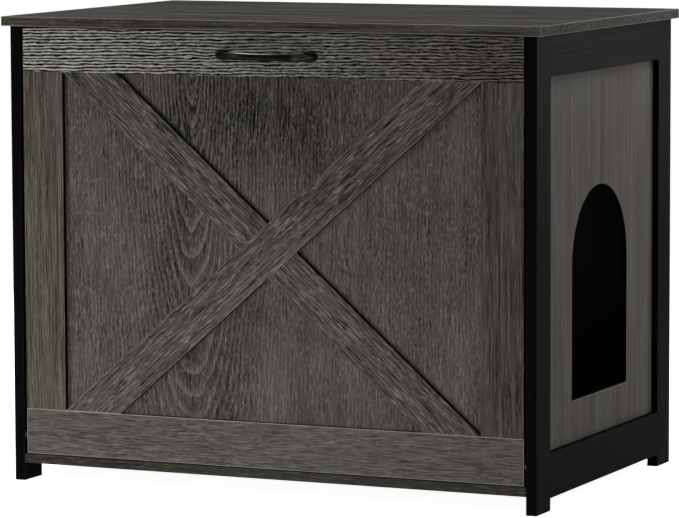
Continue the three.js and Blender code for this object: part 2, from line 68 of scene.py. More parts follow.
def skin(name, rings, arris_highlight=None, ring_closed=False):
    """A closed surface through an array of rings of points, shaped (rings, points, 3).

    Each ring is joined to the next by four-sided faces. The first and the last ring are filled
    with a flat face, unless the last joins the first. Points that fall together become one.
    """
    count, around = rings.shape[:2]
    ring = np.arange(count if ring_closed else count - 1)[:, None]
    point = np.arange(around)[None, :]
    here, onward = ring * around, (ring + 1) % count * around
    beside = (point + 1) % around
    faces = np.stack([here + point, here + beside, onward + beside, onward + point], axis=-1)
    faces = faces.reshape(-1, 4).tolist()
    if not ring_closed:
        faces += [list(range(around)), list(range((count - 1) * around, count * around))]
    mesh = bpy.data.meshes.new(name)
    mesh.from_pydata(rings.reshape(-1, 3).tolist(), [], faces)
    if arris_highlight is not None:
        mesh.attributes.new("arris_highlight", "FLOAT", "POINT").data.foreach_set("value", arris_highlight.reshape(-1))
    shape = bmesh.new()
    shape.from_mesh(mesh)
    bmesh.ops.remove_doubles(shape, verts=shape.verts, dist=SAME_POINT)
    bmesh.ops.recalc_face_normals(shape, faces=shape.faces)
    shape.to_mesh(mesh)
    shape.free()
    mesh.polygons.foreach_set("use_smooth", np.ones(len(mesh.polygons), dtype=bool))
    mesh.set_sharp_from_angle(angle=SHARP_EDGE)
    piece = bpy.data.objects.new(name, mesh)
    bpy.context.scene.collection.objects.link(piece)
    evened = piece.modifiers.new("evened shading", "WEIGHTED_NORMAL")
    evened.keep_sharp = True
    return piece


def hand_over(piece, material, body, slot, *stands_for, elsewhere=None):
    """Gives a piece its material and body, and the nodes that it stands for. Its finish slot is not used.

    With a material for elsewhere, the first one stays on the faces that look to the front or to
    the back, and the other goes on all the rest.
    """
    piece.data.materials.append(material)
    if elsewhere:
        piece.data.materials.append(elsewhere)
        facing = np.empty(3 * len(piece.data.polygons))
        piece.data.polygons.foreach_get("normal", facing)
        not_frontal = np.abs(facing.reshape(-1, 3)[:, Y]) < FRONTAL
        piece.data.polygons.foreach_set("material_index", not_frontal.astype(np.int32))
    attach(piece, body)
    if stands_for:
        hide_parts(*stands_for)


def board(name, low, high, along, arris=ARRIS, rebates=()):
    """A sawn board whose twelve arrises are rounded.

    Its section is a rectangle with quarter circles for corners, carried from end to end. Near
    each end it shrinks by the versine of an angle while it moves on by the sine, which rounds
    the ends the same way. Its attribute, the sine of twice the angle round an arris, places a
    painted highlight along the arrises.
    A rebate is (corner, width, depth, start, stop): between start and stop that corner of the
    section steps in by the width and the depth. The corners are counted from the one that is
    highest in the first cross direction and lowest in the second.
    """
    first, second = (along + 1) % 3, (along + 2) % 3
    signs = np.array([[1, -1], [1, 1], [-1, 1], [-1, -1]])
    middle, half = (low + high) / 2, (high - low) / 2
    centres = middle[[first, second]] + signs * (half[[first, second]] - arris)
    angles = (np.arange(4)[:, None] - 1) * np.pi / 2 + ARC
    directions = np.stack([np.cos(angles), np.sin(angles)], axis=-1)

    def ring(place, radius, open_rebates):
        section = centres[:, None, :] + radius * directions
        for corner, width, depth, *_ in open_rebates:
            face = middle[[first, second]] + signs[corner] * half[[first, second]]
            step = face - signs[corner] * np.array([width, depth])
            turned = corner % 2 == 0
            start = [step[0], face[1]] if turned else [face[0], step[1]]
            stop = [face[0], step[1]] if turned else [step[0], face[1]]
            section[corner] = [start, step, step, step, stop]
        points = np.empty((4 * len(ARC), 3))
        points[:, [first, second]] = section.reshape(-1, 2)
        points[:, along] = place
        return points

    rings, marks = [], []
    round_mark = np.tile(np.sin(2 * ARC), 4)
    for angle in ARC[::-1]:
        rings.append(ring(low[along] + arris * (1 - np.sin(angle)), arris * np.cos(angle), ()))
        marks.append(np.maximum(round_mark * np.cos(angle), np.sin(2 * angle)))
    stops = sorted({place for rebate in rebates for place in rebate[3:]})
    open_now = [r for r in rebates if r[3] < low[along]]
    if open_now:
        rings = [ring(low[along], arris, open_now)]
        marks = [round_mark * 0]
    for place in stops:
        if low[along] < place < high[along]:
            before = [r for r in rebates if r[3] < place <= r[4]]
            after = [r for r in rebates if r[3] <= place < r[4]]
            rings += [ring(place, arris, before), ring(place, arris, after)]
            marks += [round_mark, round_mark]
    open_last = [r for r in rebates if r[4] > high[along]]
    if open_last:
        rings.append(ring(high[along], arris, open_last))
        marks.append(round_mark * 0)
    else:
        for angle in ARC:
            rings.append(ring(high[along] - arris * (1 - np.sin(angle)), arris * np.cos(angle), ()))
            marks.append(np.maximum(round_mark * np.cos(angle), np.sin(2 * angle)))
    return skin(name, np.array(rings), np.clip(np.array(marks), 0, 1))


def wire(tree, kind, inputs, output=0, **settings):
    """Adds a shader node, sets or links its inputs and returns one of its outputs."""
    node = tree.nodes.new("ShaderNode" + kind)
    for setting, value in settings.items():
        setattr(node, setting, value)
    for name, value in inputs.items():
        if isinstance(value, bpy.types.NodeSocket):
            tree.links.new(value, node.inputs[name])
        else:
            node.inputs[name].default_value = value
    return node.outputs[output]


def new_material(name):
    """A material with its node tree and its Principled shader."""
    material = bpy.data.materials.new(name)
    material.use_nodes = True
    return material, material.node_tree, material.node_tree.nodes["Principled BSDF"]


def srgb(*levels):
    """The linear colour of three sRGB levels from 0 to 255."""
    share = np.array(levels) / 255
    linear = np.where(share <= 0.04045, share / 12.92, ((share + 0.055) / 1.055) ** 2.4)
    return (*linear.tolist(), 1.0)


def grain_space(tree, turn, middle=(0.0, 0.0, 0.0)):
    """Object coordinates in metres from a middle point, turned so that the grain runs along X."""
    place = wire(tree, "TexCoord", {}, output="Object")
    moved = wire(tree, "VectorMath", {0: place, 1: middle}, operation="SUBTRACT")
    return wire(tree, "Mapping", {"Vector": moved, "Rotation": turn})


def streaks(tree, grain, length, width, detail=2.0):
    """Noise drawn out along the grain: it changes over about that length and that width."""
    drawn = wire(tree, "Mapping", {"Vector": grain, "Scale": (1 / length, 1 / width, 1 / width)})
    return wire(tree, "TexNoise", {"Vector": drawn, "Scale": 1.0, "Detail": detail})


def weighted(tree, terms, centre=0.5):
    """The centre plus, for each pattern, its distance from a half times its weight."""
    total = centre
    for pattern, weight in terms:
        apart = wire(tree, "Math", {0: pattern, 1: 0.5}, operation="SUBTRACT")
        total = wire(tree, "Math", {0: apart, 1: weight, 2: total}, operation="MULTIPLY_ADD")
    return total


def stretched(tree, value, low, high, to_low=0.0, to_high=1.0):
    """The value mapped from one range to another and held inside it."""
    return wire(tree, "MapRange", {0: value, 1: low, 2: high, 3: to_low, 4: to_high})


def spread(tree, grain, length, width, detail=2.0):
    """Streaks whose usual values, which lie near a half, are drawn out over nought to one."""
    return stretched(tree, streaks(tree, grain, length, width, detail), 0.3, 0.7)


def between(tree, share, first, second):
    """The colour that lies that share of the way from the first to the second."""
    return wire(tree, "Mix", {0: share, 6: first, 7: second}, output=2, data_type="RGBA")


def highlight_arrises(tree, colour, highlight_colour, amount):
    """Paints a highlight: mixes a paler colour in along the rounded arrises, which the mesh marks."""
    arris_highlight = wire(tree, "Attribute", {}, output="Fac", attribute_name="arris_highlight")
    return between(tree, wire(tree, "Math", {0: arris_highlight, 1: amount}, operation="MULTIPLY"), colour, highlight_colour)


def raised(tree, shader, height, depth):
    """Lets a pattern stand up from the surface by a depth in metres."""
    bump = wire(tree, "Bump", {"Height": height, "Distance": depth, "Strength": 1.0})
    tree.links.new(bump, shader.inputs["Normal"])


def finish(tree, shader, colour, pattern, roughness, depth):
    """Links a colour, and lets a pattern set the roughness, between two values, and the relief."""
    tree.links.new(colour, shader.inputs["Base Color"])
    tree.links.new(stretched(tree, pattern, 0.0, 1.0, *roughness), shader.inputs["Roughness"])
    raised(tree, shader, pattern, depth)


def black_laminate(name, turn):
    """Black laminate: fine raised lines and fibres along the grain, with faint handling marks."""
    material, tree, shader = new_material(name)
    grain = grain_space(tree, turn)
    lines = spread(tree, grain, length=0.30, width=0.0016)
    fibres = spread(tree, grain, length=0.05, width=0.0007)
    smudges = streaks(tree, grain, length=0.12, width=0.05)
    relief = weighted(tree, [(lines, 0.6), (fibres, 0.4)])
    shade = weighted(tree, [(smudges, 0.5)], relief)
    colour = between(tree, shade, srgb(1, 1, 1), srgb(12, 12, 12))
    # A painted highlight: the rounded arrises are paler.
    finish(tree, shader, highlight_arrises(tree, colour, srgb(60, 60, 60), 0.25), relief, (0.45, 0.6), 0.00008)
    shader.inputs["Specular IOR Level"].default_value = 0.006
    return material


def dress(names, material):
    """Gives nodes of the frame, whose shape is kept, a finish."""
    for name in names:
        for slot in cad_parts[name].material_slots:
            slot.material = material


black_upright = black_laminate("black_laminate_upright", UPRIGHT)
black_side_rail = black_laminate("black_laminate_front_to_back", FRONT_TO_BACK)
panel_low, panel_high = corners("right_side_panel")
back_low, back_high = corners("back_panel")
PANEL_CORNERS = {("left", "front"): 1, ("right", "front"): 2, ("left", "rear"): 0, ("right", "rear"): 3}
BACK_CORNERS = {"left": 1, "right": 2}
BEYOND = 1.0
REBATE_PLAY = 0.0005

for side in SIDES:
    for end in ENDS:
        low, high = corners(f"{side}_{end}_post")
        lap = high[Y] - panel_low[Y] if end == "front" else panel_high[Y] - low[Y]
        rebates = [(PANEL_CORNERS[side, end], panel_high[X] - panel_low[X], lap + REBATE_PLAY,
                    panel_low[Z] - REBATE_PLAY, panel_high[Z] + REBATE_PLAY)]
        if end == "rear":
            back_lap = high[X] - back_low[X] if side == "left" else back_high[X] - low[X]
            rebates.append((BACK_CORNERS[side], back_lap + REBATE_PLAY, high[Y] - back_low[Y],
                            -BEYOND, BEYOND))
        post = board(f"{side}_{end}_post_board", low, high, Z, rebates=rebates)
        hand_over(post, black_upright, "cabinet", "black_laminate", f"{side}_{end}_post")

dress([f"{side}_{level}_rail" for side in SIDES for level in ("upper", "lower")], black_side_rail)

# ---------------------------------------------------------------- side panels
# A 6 mm panel in grey oak laminate lies in a rebate behind each side frame. The right one has
# the cat's entry, sawn out and lipped with a black band.


def wavering(tree, grain, reach, drift):
    """Grain coordinates pushed sideways by up to about a drift, over a reach along the grain."""
    slowed = wire(tree, "Mapping", {"Vector": grain, "Scale": (1 / reach, 3 / reach, 3 / reach)})
    push = wire(tree, "TexNoise", {"Vector": slowed, "Scale": 1.0, "Detail": 1.0}, output="Color")
    apart = wire(tree, "VectorMath", {0: push, 1: (0.5, 0.5, 0.5)}, operation="SUBTRACT")
    return wire(tree, "VectorMath", {0: apart, 1: (0.0, 2 * drift, 2 * drift), 2: grain},
                operation="MULTIPLY_ADD")


OAK_TINTS = srgb(254, 249, 244), srgb(248, 250, 245)
PALE_FLECK = srgb(186, 182, 175)
# The paler colour of the painted highlight along oak arrises.
ARRIS_HIGHLIGHT_OAK = srgb(215, 212, 205)


def oak(name, turn, dark, light, fibres, flecks, middle=(0.0, 0.0, 0.0), centre=0.5, strips=0.15,
        patches=0.2, glints=0.1, pattern=None, arris_highlight_share=0.0, shine=0.02):
    """Oak-grain laminate. Long fibres, short flecks, broad strips and patches add up to one shade,
    which sets colour, roughness and relief. Fibres and flecks are (length, width, weight), and the
    flecks come and go in clouds. Glints are the sparse pale flecks.

    A pattern is a board's own figure. It is given the tree, the grain before and after it wavers
    and the light colour, and returns its terms of the shade and the light colour to use.
    """
    material, tree, shader = new_material(name)
    straight = grain_space(tree, turn, middle)
    grain = wavering(tree, straight, reach=0.12, drift=0.002)
    shifted = wire(tree, "Mapping", {"Vector": grain, "Location": (0.37, 0.11, 0.23)})
    length, width, weight = flecks
    long_fibres = stretched(tree, streaks(tree, grain, *fibres[:2], detail=3.0), 0.33, 0.67)
    short_flecks = stretched(tree, streaks(tree, grain, length, width, detail=1.0), 0.38, 0.62)
    flock = streaks(tree, shifted, length=0.08, width=0.02, detail=1.0)
    busy = stretched(tree, flock, 0.38, 0.6, 0.25 * weight, weight)
    pale_flecks = stretched(tree, streaks(tree, shifted, 1.3 * length, width, detail=1.0), 0.58, 0.68)
    broad = spread(tree, grain, length=0.50, width=0.014)
    cloud = spread(tree, grain, length=0.20, width=0.07, detail=1.0)
    terms = [(long_fibres, fibres[2]), (short_flecks, busy), (broad, strips), (cloud, patches)]
    if pattern:
        own_terms, light = pattern(tree, straight, grain, light)
        terms += own_terms
    shade = weighted(tree, terms, centre)
    toned = wire(tree, "Mix", {0: 1.0, 6: between(tree, shade, dark, light),
                               7: between(tree, cloud, *OAK_TINTS)},
                 output=2, data_type="RGBA", blend_type="MULTIPLY")
    share = wire(tree, "Math", {0: pale_flecks, 1: glints}, operation="MULTIPLY")
    colour = between(tree, share, toned, PALE_FLECK)
    # A painted highlight: the rounded arrises are paler, by the given share.
    finish(tree, shader, highlight_arrises(tree, colour, ARRIS_HIGHLIGHT_OAK, arris_highlight_share), shade, (0.78, 0.58), 0.0002)
    shader.inputs["Specular IOR Level"].default_value = shine
    return material


grey_oak = oak("grey_oak_upright", UPRIGHT, srgb(68, 66, 63), srgb(104, 101, 97), middle=(0.37, 0.0, 0.3),
               fibres=(0.25, 0.005, 0.4), flecks=(0.02, 0.002, 0.1), strips=0.3, glints=0.03, arris_highlight_share=0.25)
ENTRY_HALF = 0.1025
ENTRY_SPRING = 0.31075
ENTRY_SILL = 0.13225
ENTRY_POINTS = 120
EDGE_BAND = 0.0007
TINY = 1e-9
entry_y = (panel_low[Y] + panel_high[Y]) / 2


def entry_reach(angle, room=0.0):
    """How far the entry's outline, grown by some room, lies from the middle of its half circle:
    the radius above, and below it the nearer of the upright side and the sill."""
    radius = ENTRY_HALF + room
    drop = ENTRY_SPRING - ENTRY_SILL + room
    upright = radius / np.maximum(np.abs(np.cos(angle)), TINY)
    sill = drop / np.maximum(-np.sin(angle), TINY)
    return np.where(np.sin(angle) >= 0, radius, np.minimum(upright, sill))


def entry_ring(angle, x, reach):
    """Points at a distance from the middle of the entry's half circle, in the plane at that x."""
    return np.stack([np.full_like(angle, x), entry_y + reach * np.cos(angle),
                     ENTRY_SPRING + reach * np.sin(angle)], axis=-1)


rect_half = (panel_high[Y] - panel_low[Y]) / 2
rise_above = panel_high[Z] - ENTRY_SPRING
rise_below = ENTRY_SPRING - panel_low[Z]
drop_below = ENTRY_SPRING - ENTRY_SILL
exact_angles = np.array([
    np.arctan2(rise_above, rect_half), np.arctan2(rise_above, -rect_half),
    np.arctan2(-rise_below, rect_half), np.arctan2(-rise_below, -rect_half),
    np.arctan2(-drop_below, ENTRY_HALF), np.arctan2(-drop_below, -ENTRY_HALF),
])
evenly = np.linspace(-np.pi, np.pi, ENTRY_POINTS, endpoint=False)
angle = np.unique(np.concatenate([evenly, exact_angles]))
height = np.where(np.sin(angle) >= 0, rise_above, rise_below)
outer_reach = np.minimum(rect_half / np.maximum(np.abs(np.cos(angle)), TINY),
                         height / np.maximum(np.abs(np.sin(angle)), TINY))
inner_x, outer_x = panel_low[X], panel_high[X]
panel_rings, panel_arris_highlight = [], []
for turn in ARC:
    panel_rings.append(entry_ring(angle, outer_x - ARRIS * (1 - np.sin(turn)),
                                  entry_reach(angle, EDGE_BAND + ARRIS * (1 - np.cos(turn)))))
    panel_arris_highlight.append(np.full_like(angle, np.sin(2 * turn)))
for x in (outer_x, inner_x):
    panel_rings.append(entry_ring(angle, x, outer_reach))
    panel_arris_highlight.append(np.zeros_like(angle))
panel_rings.append(entry_ring(angle, inner_x, entry_reach(angle, EDGE_BAND)))
panel_arris_highlight.append(np.zeros_like(angle))
right_panel = skin("right_side_panel_board", np.array(panel_rings), np.array(panel_arris_highlight), ring_closed=True)
hand_over(right_panel, grey_oak, "cabinet", "side_laminate", "right_side_panel")

def fine_grained(name, turn, length, width, dark, light, roughness, depth, sockets=()):
    """A finish with one fine pattern, which sets its colour, roughness and relief. Sockets are
    the shader's other values that aren't its usual ones."""
    material, tree, shader = new_material(name)
    marks = spread(tree, grain_space(tree, turn), length, width)
    finish(tree, shader, between(tree, marks, dark, light), marks, roughness, depth)
    for socket, value in dict(sockets).items():
        shader.inputs[socket].default_value = value
    return material


# Black lipping for the entry. On the door's rails, stiles and slats the same black covers every face that
# doesn't look to the front or the back: painted shade, where those edges lie in shade.
black_lip_and_shade = fine_grained("black_lipping_and_painted_shade", FRONT_TO_BACK, 0.02, 0.001, srgb(2, 2, 2), srgb(9, 9, 9),
                          (0.5, 0.7), 0.00005, {"Specular IOR Level": 0.02})
band_rings = [entry_ring(angle, x, entry_reach(angle, room)) for x, room in (
    (outer_x - ARRIS, EDGE_BAND), (outer_x - ARRIS / 2, EDGE_BAND / 3), (outer_x - ARRIS, 0.0),
    (inner_x + ARRIS / 2, 0.0), (inner_x, EDGE_BAND))]
entry_band = skin("entry_edge_band", np.array(band_rings), ring_closed=True)
hand_over(entry_band, black_lip_and_shade, "cabinet", "black_laminate")

left_low, left_high = corners("left_side_panel")
left_panel = board("left_side_panel_board", left_low, left_high, Z, arris=ARRIS / 2)
hand_over(left_panel, grey_oak, "cabinet", "side_laminate", "left_side_panel")

# ---------------------------------------------------------------- stretchers and dowels
# Two black rails tie the side frames together under the top. Beech dowels are glued into the
# ends of each rail and into the frames.

dress(["front_stretcher", "rear_stretcher"], black_laminate("black_laminate_level", LEVEL))
beech = fine_grained("dowel_beech", LEVEL, 0.006, 0.0006, srgb(178, 138, 92), srgb(214, 182, 136),
                     (0.8, 0.65), 0.0001)
dress([f"{side}_{end}_stretcher_dowel" for side in SIDES for end in ENDS], beech)

# ---------------------------------------------------------------- bottom
# The bottom is a board in charcoal oak laminate like the top, held between the side frames by
# four cam fittings. Its front edge shows under the door as a thin strip.

dress(["bottom_panel"], oak("charcoal_oak_bottom", LEVEL, srgb(26, 25, 22), srgb(68, 66, 61),
                            fibres=(0.08, 0.002, 0.35), flecks=(0.012, 0.0014, 0.2)))

# ---------------------------------------------------------------- cam fittings
# A steel bolt screwed into one board reaches a zinc cam let into the next. A cross-head driver
# turns the cam, which pulls the two boards tight.

CROSS_ARM = np.radians([-45, -34, -24, -15, -6, 0, 6, 15, 24, 34])
CROSS_ANGLES = (np.radians([0, 90, 180, 270])[:, None] + CROSS_ARM).reshape(-1)


def cross_reach(length, width):
    """How far a cross of that arm length and arm width reaches from its middle, by angle."""
    from_arm = np.tile(np.abs(CROSS_ARM), 4)
    side = width / 2 / np.maximum(np.sin(from_arm), 1e-9)
    return np.minimum(length / np.cos(from_arm), side)


def turned_piece(name, profile, seat, direction, recess=None):
    """A turned piece: a profile of (radius, distance) carried round a line from the seat.

    A recess (length, width, depth) sinks a driver's cross into the last face of the profile:
    the outline of the cross at the face, the same outline at its depth, then the middle.
    """
    direction = np.array(direction, dtype=float)
    across = np.cross(direction, [0.0, 0.0, 1.0] if abs(direction[Z]) < 0.5 else [0.0, 1.0, 0.0])
    upward = np.cross(direction, across)
    rings = [(np.full_like(CROSS_ANGLES, radius), distance) for radius, distance in profile]
    if recess:
        length, width, depth = recess
        face = profile[-1][1]
        reach = cross_reach(length, width)
        rings += [(reach, face), (reach * 0.9, face - depth), (reach * 0.0, face - depth)]
    points = np.array([
        seat + radius[:, None] * (np.cos(CROSS_ANGLES)[:, None] * across
                                  + np.sin(CROSS_ANGLES)[:, None] * upward) + distance * direction
        for radius, distance in rings])
    return skin(name, points)


def metal(name, dark, light, roughness, marks):
    """Bare or plated metal with fine turning and handling marks of that length."""
    return fine_grained(name, LEVEL, marks, marks / 4, dark, light,
                        (roughness + 0.1, roughness - 0.05), 0.00003, {"Metallic": 0.9})


steel = metal("fitting_steel", srgb(150, 151, 153), srgb(196, 197, 199), 0.32, marks=0.004)
zinc = metal("cam_zinc", srgb(126, 128, 132), srgb(172, 174, 178), 0.42, marks=0.006)
CAM_RADIUS = 0.006
CAM_RIM = 0.8
CAM_DISH = 0.76
DISH_DEPTH = 0.0002
CAM_CROSS = (0.0036, 0.0015, 0.002)
for side, outward in zip(SIDES, (-1, 1)):
    for end in ENDS:
        for level, face, axis in (("bottom", (0, 0, -1), Z), ("top", (-outward, 0, 0), X)):
            name = f"{level}_{side}_{end}_cam"
            low, high = corners(name)
            seat = (low + high) / 2
            seat[axis] = low[axis] if sum(face) > 0 else high[axis]
            depth = high[axis] - low[axis]
            profile = [(0.0, 0.0), (CAM_RADIUS, 0.0), (CAM_RADIUS, depth - ARRIS),
                       (CAM_RADIUS - ARRIS / 2, depth), (CAM_RADIUS * CAM_RIM, depth),
                       (CAM_RADIUS * CAM_DISH, depth - DISH_DEPTH)]
            cam = turned_piece(f"{name}_turned", profile, seat, face, recess=CAM_CROSS)
            hand_over(cam, zinc, "cabinet", "cam_zinc", name)
            dress([f"{name}_bolt"], steel)

# ---------------------------------------------------------------- back
# A thin back in grey oak lies in a rebate behind the rear posts and against the rear stretcher
# and the bottom. Round-headed pins hold it there.

back_panel = board("back_panel_board", back_low, back_high, X, arris=ARRIS / 3)
back_oak = oak("grey_oak_back", UPRIGHT, srgb(62, 60, 57), srgb(100, 97, 93),
               fibres=(0.25, 0.005, 0.45), flecks=(0.02, 0.002, 0.1), strips=0.3, glints=0.03)
hand_over(back_panel, back_oak, "cabinet", "side_laminate", "back_panel")

PIN_HEAD = 0.0026
PIN_HEIGHT = 0.0009
PIN_SUNK = 0.0002
PIN_INSET = 0.0045
PIN_END = 0.04
PIN_SPREAD = 0.24
stretcher_low, stretcher_high = corners("rear_stretcher")
bottom_low, bottom_high = corners("bottom_panel")
pin_places = [(x, z) for x in (back_low[X] + PIN_INSET, back_high[X] - PIN_INSET)
              for z in np.linspace(back_low[Z] + PIN_END, back_high[Z] - PIN_END, 5)]
pin_places += [(x, z) for x in np.linspace(-PIN_SPREAD, PIN_SPREAD, 4)
               for z in ((stretcher_low[Z] + stretcher_high[Z]) / 2, (bottom_low[Z] + bottom_high[Z]) / 2)]
pin_profile = [(0.0, -PIN_SUNK), (PIN_HEAD, -PIN_SUNK)]
pin_profile += [(PIN_HEAD * np.cos(turn), PIN_HEIGHT * np.sin(turn)) for turn in ARC]
for count, (x, z) in enumerate(pin_places, 1):
    pin = turned_piece(f"back_pin_{count}", pin_profile, np.array([x, back_high[Y], z]), (0, 1, 0))
    hand_over(pin, steel, "cabinet", "fitting_steel")

# ---------------------------------------------------------------- top
# The top is a 13 mm board in charcoal oak laminate that overhangs the frames on every side. Its
# front and back edges are darker. Four bolts under it go down into the cams of the upper rails.

top_low, top_high = corners("top_panel")
top = board("top_panel_board", top_low, top_high, X, arris=0.00075)
top_oak = oak("charcoal_oak_top", LEVEL, srgb(24, 24, 22), srgb(110, 109, 107),
              fibres=(0.2, 0.0036, 0.7), flecks=(0.012, 0.0016, 0.2), arris_highlight_share=0.5, shine=0.0)
banding_oak = oak("charcoal_oak_edging", LEVEL, srgb(14, 13, 10), srgb(82, 79, 70),
                  fibres=(0.2, 0.0024, 0.8), flecks=(0.012, 0.0014, 0.2), arris_highlight_share=0.4)
hand_over(top, banding_oak, "cabinet", "top_laminate", "top_panel", elsewhere=top_oak)

# ---------------------------------------------------------------- hinge bushes and magnets
# A flanged nylon bush low in each front post takes the door's pivot pin. Two magnets in black
# nylon sleeves stand in the front stretcher behind the door's top.

black_nylon = fine_grained("fitting_nylon", LEVEL, 0.002, 0.002, srgb(10, 10, 10), srgb(24, 24, 24),
                           (0.45, 0.6), 0.00004)
dress(["left_pivot_bush", "right_pivot_bush"], black_nylon)

SLEEVE_RADIUS = 0.005
FLANGE = 0.0015
MAGNET_RADIUS = 0.0042
MAGNET_SUNK = 0.0004
for side in SIDES:
    low, high = corners(f"{side}_magnet")
    seat = (low + high) / 2
    seat[Y] = high[Y]
    depth = high[Y] - low[Y]
    radius = (high[X] - low[X]) / 2
    housing = [(0.0, 0.0), (SLEEVE_RADIUS, 0.0), (SLEEVE_RADIUS, depth - FLANGE),
               (radius, depth - FLANGE), (radius, depth - FLANGE / 2), (radius - FLANGE / 3, depth),
               (MAGNET_RADIUS, depth), (MAGNET_RADIUS, depth - MAGNET_SUNK), (0.0, depth - MAGNET_SUNK)]
    magnet = turned_piece(f"{side}_magnet_turned", housing, seat, (0, -1, 0))
    hand_over(magnet, black_nylon, "cabinet", "fitting_nylon", f"{side}_magnet")

# ---------------------------------------------------------------- door frame
# Two rails run the width of the door, with the stiles between them. All four are charcoal oak
# with a rebate behind the opening for the panel. The top rail's face is brushed.

inlay_low, inlay_high = corners("door_panel")
pocket_left, pocket_right = inlay_low[X] - REBATE_PLAY, inlay_high[X] + REBATE_PLAY
pocket_low, pocket_high = inlay_low[Z] - REBATE_PLAY, inlay_high[Z] + REBATE_PLAY
pocket_depth = inlay_high[Y] - inlay_low[Y]

GROOVE_PITCH = 0.0042
GROOVE_LEAN = 0.019
GROOVE_LENGTH = 4
BRUSHED_REACH = 0.33
# The paler colour painted on the rail's left end as light.
PAINTED_LIGHT_PALE = srgb(176, 175, 170)


def wave_scale(pitch):
    """The scale that gives the wave texture that pitch, as its own bands are pi / 10 apart."""
    return np.pi / 10 / pitch


def brushed(tree, straight, grain, light):
    """Close and nearly even grooves along the rail. Towards its left end they are stronger and the wood
    between them is paler: painted light, for more light falls on that end."""
    fade = stretched(tree, wire(tree, "SeparateXYZ", {0: straight}, output="X"),
                     -BRUSHED_REACH, BRUSHED_REACH)
    leaning = wire(tree, "Mapping", {"Vector": straight, "Rotation": (0.0, GROOVE_LEAN, 0.0)})
    scale = wave_scale(GROOVE_PITCH)
    drawn = wire(tree, "Mapping", {
        "Vector": leaning, "Scale": (scale / GROOVE_LENGTH, scale / GROOVE_LENGTH, scale)})
    waves = wire(tree, "TexWave", {
        "Vector": drawn, "Scale": 1.0, "Distortion": 6.5, "Detail": 3.0, "Detail Scale": 0.8,
        "Detail Roughness": 0.8,
    }, wave_type="BANDS", bands_direction="Z", wave_profile="SIN")
    grooves = stretched(tree, waves, 0.3, 0.7)
    # Painted light: towards the left end the grooves are stronger and the light colour paler.
    return ([(grooves, stretched(tree, fade, 0.0, 1.0, 1.0, 0.55))],
            between(tree, fade, PAINTED_LIGHT_PALE, light))


brushed_oak = oak("charcoal_oak_brushed", LEVEL, srgb(6, 6, 4), srgb(114, 110, 102), centre=0.32,
                  fibres=(0.012, 0.0013, 0.6), flecks=(0.006, 0.0012, 0.5), strips=0.0, patches=0.1,
                  pattern=brushed)
bottom_rail_oak = oak("charcoal_oak_bottom_rail", LEVEL, srgb(46, 44, 41), srgb(107, 103, 99),
                      fibres=(0.025, 0.0017, 0.6), flecks=(0.010, 0.0013, 0.35), strips=0.1,
                      patches=0.12, arris_highlight_share=0.5)
# The rails and stiles are black on every face that doesn't look to the front or the back: painted shade.
low, high = corners("door_top_rail")
top_rail = board("door_top_rail_board", low, high, X,
                 rebates=[(0, pocket_depth, pocket_high - low[Z], pocket_left, pocket_right)])
hand_over(top_rail, brushed_oak, "door", "door_laminate", "door_top_rail", elsewhere=black_lip_and_shade)
low, high = corners("door_bottom_rail")
bottom_rail = board("door_bottom_rail_board", low, high, X, arris=0.001,
                    rebates=[(1, pocket_depth, high[Z] - pocket_low, pocket_left, pocket_right)])
hand_over(bottom_rail, bottom_rail_oak, "door", "door_laminate", "door_bottom_rail",
          elsewhere=black_lip_and_shade)

STILE_GRAIN = {"fibres": (0.1, 0.0019, 0.75), "flecks": (0.014, 0.0012, 0.3), "strips": 0.2}
# The right stile's tones are darker than the left's: painted shade, as less light falls on the right of
# the door.
stile_oaks = {
    "left": oak("charcoal_oak_left_stile", UPRIGHT, srgb(31, 28, 25), srgb(99, 94, 88),
                middle=(-0.35, 0.0, 0.33), **STILE_GRAIN),
    "right": oak("charcoal_oak_right_stile_painted_shade", UPRIGHT, srgb(23, 21, 19), srgb(88, 84, 79),
                 middle=(0.3, 0.0, 0.3), **STILE_GRAIN),
}
for side in SIDES:
    low, high = corners(f"door_{side}_stile")
    lap = high[X] - pocket_left if side == "left" else pocket_right - low[X]
    stile = board(f"door_{side}_stile_board", low, high, Z,
                  rebates=[(BACK_CORNERS[side], lap, pocket_depth, -BEYOND, BEYOND)])
    hand_over(stile, stile_oaks[side], "door", "door_laminate", f"door_{side}_stile",
              elsewhere=black_lip_and_shade)

# ---------------------------------------------------------------- door panel
# A flat 9 mm panel fills the frame from behind. Its face shows a plain-sawn figure whose heart lies
# left of its middle, and one broad area high in its middle is darker.

RING_PITCH = 0.0055
RING_WEIGHT = 0.5
HEART_LEAN = -0.15
HEART_DEPTH = 0.016
DARK_PLACE = (0.0, inlay_low[Y], 0.50)
DARK_REACH = (0.17, 1.0, 0.09)
DARK_WEIGHT = 0.5


